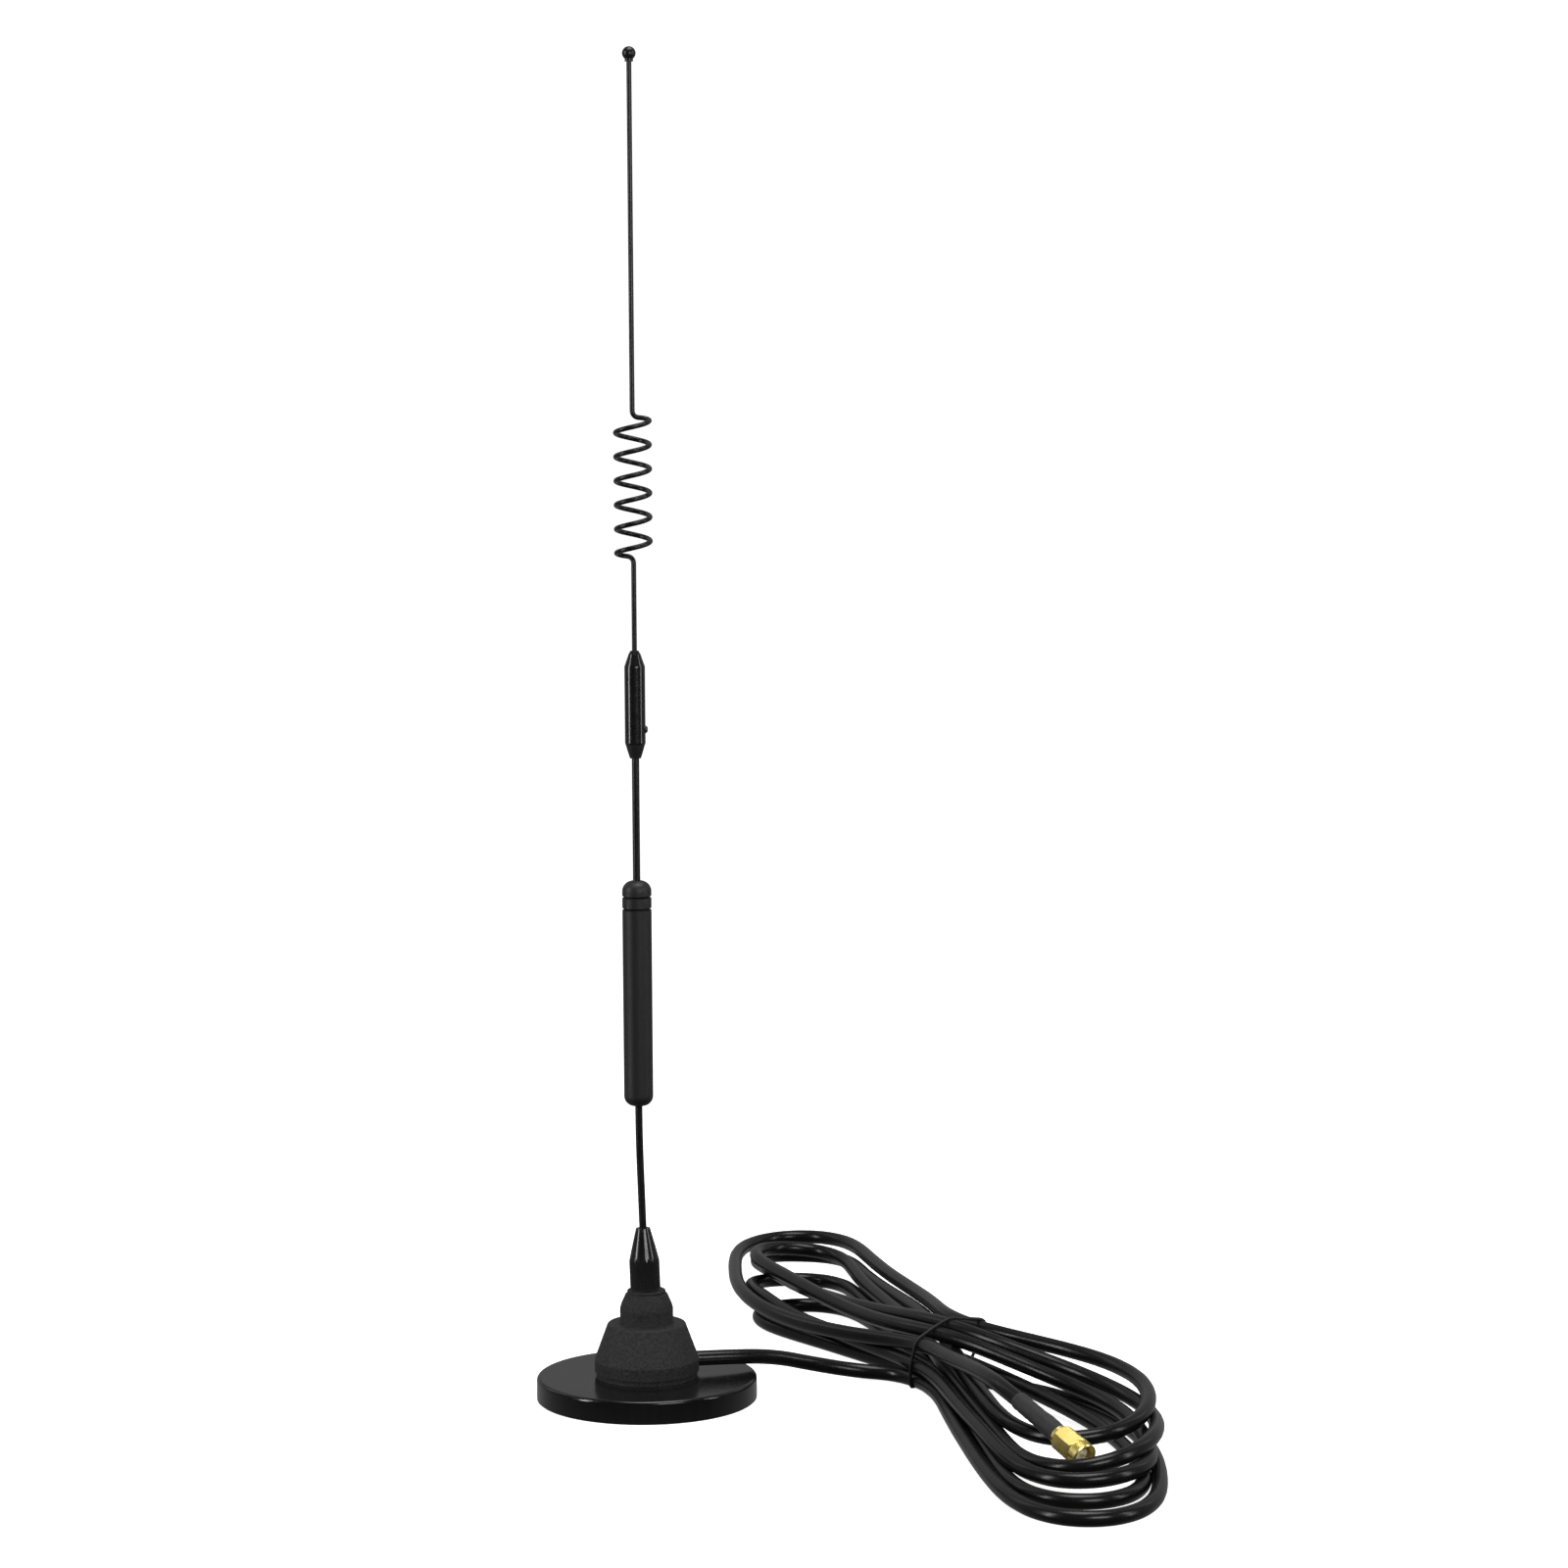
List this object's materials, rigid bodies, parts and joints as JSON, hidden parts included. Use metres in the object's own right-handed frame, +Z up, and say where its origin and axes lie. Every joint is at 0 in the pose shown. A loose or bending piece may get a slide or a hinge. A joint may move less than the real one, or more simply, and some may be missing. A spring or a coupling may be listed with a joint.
{
  "type": "omnidirectional antenna",
  "caption": "Magnetic-base whip antenna with a loading-coil sleeve, an open helix in the upper whip and a coiled coaxial lead with a screw-on connector.",
  "frame": {"origin": "centre of the underside of the magnetic base, on the surface it stands on", "axes": "+Z up along the mast, +X towards the side where the lead leaves the housing, -Y towards the near loops of the coiled lead"},
  "size_m": [0.2006, 0.3757, 0.4367],
  "materials": {
    "base_shell": "gloss black coating",
    "base_pad": "matt black pad",
    "magnet": "ground ferrite",
    "housing": "coarse moulded texture, black",
    "boot": "coarse moulded texture, black",
    "soft_rubber": "matt black",
    "steel_fixing": "zinc plated",
    "contact_brass": "bright turned",
    "copper_wire": "enamelled copper",
    "tinned_braid": "tinned braid",
    "ferrule": "gloss black plating",
    "rod": "satin black plating",
    "sleeve": "fine matt texture, black",
    "former": "natural moulded",
    "grub_screw": "black oxide",
    "jacket": "smooth half-gloss PVC, black",
    "tie": "matt black coated wire",
    "heat_shrink": "matt dark grey",
    "gold": "gold plated",
    "dielectric": "white",
    "gasket": "red-brown silicone"
  },
  "bodies": {
    "base": {"base_cup": "base_shell", "base_pad": "base_pad", "ring_magnet": "magnet", "cone_housing": "housing", "cable_grommet": "soft_rubber", "housing_screws": "steel_fixing", "insulator_boot": "boot", "contact_stud": "contact_brass", "stud_nut": "contact_brass", "stud_washer": "contact_brass", "contact_lug": "contact_brass", "ground_lug": "contact_brass", "ground_screw": "steel_fixing", "core_wire": "copper_wire", "braid_tail": "tinned_braid", "cable_lead": "jacket", "cable_tail": "jacket", "cable_hank": "jacket", "cable_tie": "tie", "heat_shrink": "heat_shrink", "crimp_ferrule": "gold", "sma_body": "gold", "sma_dielectric": "dielectric", "sma_pin": "gold", "snap_ring": "steel_fixing", "sma_gasket": "gasket"},
    "seal": {"mast_seal": "soft_rubber"},
    "mast": {"mast_ferrule": "ferrule", "lower_rod": "rod", "coil_sleeve": "sleeve", "coil_former": "former", "coil_cap_lower": "contact_brass", "coil_cap_upper": "contact_brass", "loading_coil": "copper_wire", "middle_rod": "rod", "tuning_tube": "ferrule", "tube_end_bush": "sleeve"},
    "grub": {"set_screw": "grub_screw"},
    "whip": {"upper_whip": "rod", "tip_ball": "rod"},
    "nut": {"sma_nut": "gold"}
  },
  "joints": [
    {"name": "mast_turn", "type": "hinge", "parent": "base", "child": "seal", "pos_m": [0, 0, 0.0275], "axis": [-0.0342, 0, 0.9994], "range_deg": [0, 2520]},
    {"name": "mast_lift", "type": "slide", "parent": "seal", "child": "mast", "axis": [-0.0342, 0, 0.9994], "range_m": [0, 0.0056]},
    {"name": "set_screw_turn", "type": "hinge", "parent": "mast", "child": "grub", "pos_m": [-0.00234, 0, 0.2195], "axis": [1, 0, 0.0024], "range_deg": [0, 360]},
    {"name": "whip_slide", "type": "slide", "parent": "mast", "child": "whip", "axis": [-0.0024, 0, 1], "range_m": [0, 0.022]},
    {"name": "nut_spin", "type": "hinge", "parent": "base", "child": "nut", "pos_m": [0.13533, -0.10944, 0.00899], "axis": [0.5232, -0.7989, -0.2967], "continuous": true}
  ],
  "couplings": [
    {"joint": "mast_turn", "follows": "mast_lift", "rad_per_m": 7854}
  ]
}
